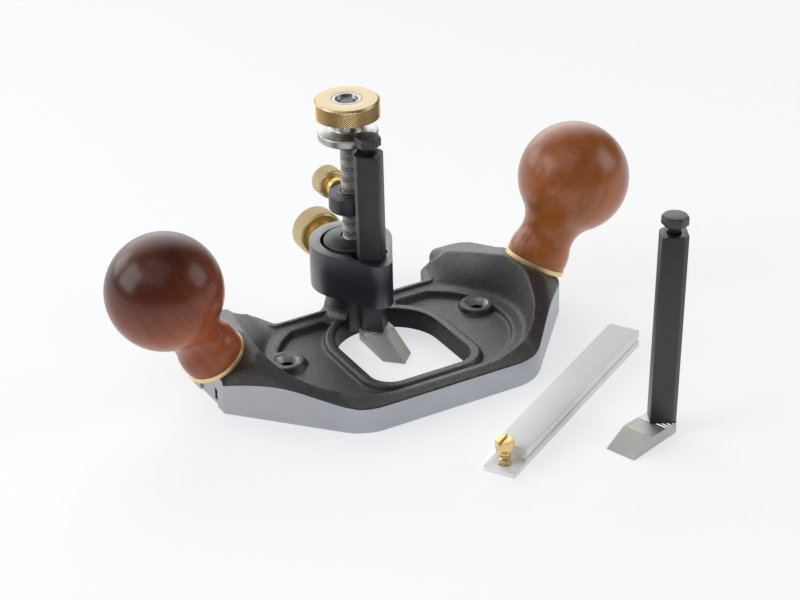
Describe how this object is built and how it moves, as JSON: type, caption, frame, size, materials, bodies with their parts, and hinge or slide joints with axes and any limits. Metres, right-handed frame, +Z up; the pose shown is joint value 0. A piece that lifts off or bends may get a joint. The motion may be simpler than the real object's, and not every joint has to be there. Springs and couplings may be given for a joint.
{
  "type": "hand router plane",
  "caption": "Hand router plane: cast base with tilted ball knobs, screw-adjusted spear cutter clamped to a round post, depth stop, loose fence and spare straight cutter.",
  "frame": {"origin": "on the sole plane, midway between the two countersunk screw holes of the base", "axes": "+X from the left knob to the right knob, +Y from the cutter's point towards the post, +Z up from the sole"},
  "size_m": [0.2556, 0.2019, 0.1121],
  "materials": {
    "casting": "black textured paint, sides of the sole ground bare",
    "knob_wood": "red-brown hardwood, satin varnish, grain along the knob",
    "brass": "turned and knurled, bright",
    "bright_steel": "turned bright steel, thread on the rod and studs",
    "black_steel": "blackened steel, satin",
    "collar_black": "satin blue-black",
    "tool_steel": "ground tool steel",
    "aluminium": "fine satin"
  },
  "bodies": {
    "plane": {"body_casting": "casting", "left_knob": "knob_wood", "right_knob": "knob_wood", "left_ferrule": "brass", "right_ferrule": "brass", "left_knob_stud": "bright_steel", "right_knob_stud": "bright_steel", "adjuster_rod": "bright_steel"},
    "cutter": {"cutter_shank": "black_steel", "cutter_blade": "tool_steel", "cutter_blade_screw": "black_steel", "cutter_bolt": "black_steel"},
    "adjuster": {"wheel_nut": "bright_steel", "depth_wheel": "brass"},
    "collar": {"clamp_collar": "collar_black"},
    "clamp_thumbscrew": {"clamp_screw": "brass"},
    "stop": {"stop_ring": "black_steel"},
    "stop_thumbscrew": {"stop_screw": "brass"},
    "fence": {"fence_bar": "aluminium", "fence_screw": "brass"},
    "spare_cutter": {"spare_shank": "black_steel", "spare_blade": "tool_steel", "spare_blade_screw": "black_steel", "spare_bolt": "black_steel"}
  },
  "joints": [
    {"name": "depth_slide", "type": "slide", "parent": "plane", "child": "cutter", "axis": [0, 0, -1], "range_m": [-0.007, 0.02]},
    {"name": "wheel_spin", "type": "hinge", "parent": "cutter", "child": "adjuster", "pos_m": [0, 0.0272, 0.1], "axis": [0, 0, -1], "range_deg": [-2522, 7202]},
    {"name": "clamp_turn", "type": "hinge", "parent": "plane", "child": "clamp_thumbscrew", "pos_m": [0, 0.055, 0.0325], "axis": [0, 1, 0], "range_deg": [0, 541]},
    {"name": "clamp_slide", "type": "slide", "parent": "plane", "child": "collar", "axis": [0, -1, 0], "range_m": [0, 0.0015]},
    {"name": "stop_slide", "type": "slide", "parent": "plane", "child": "stop", "axis": [0, 0, -1], "range_m": [-0.005, 0.0135]},
    {"name": "stop_turn", "type": "hinge", "parent": "stop", "child": "stop_thumbscrew", "pos_m": [0, 0.045, 0.06365], "axis": [0, 1, 0], "range_deg": [0, 360]},
    {"name": "fence_lift", "type": "slide", "parent": "plane", "child": "fence", "axis": [0, 0, 1], "range_m": [0, 0.06]},
    {"name": "spare_lift", "type": "slide", "parent": "plane", "child": "spare_cutter", "axis": [0, 0, 1], "range_m": [0, 0.06]}
  ],
  "couplings": [
    {"joint": "wheel_spin", "follows": "depth_slide", "rad_per_m": 6283.2},
    {"joint": "clamp_turn", "follows": "clamp_slide", "rad_per_m": 6283.2}
  ]
}
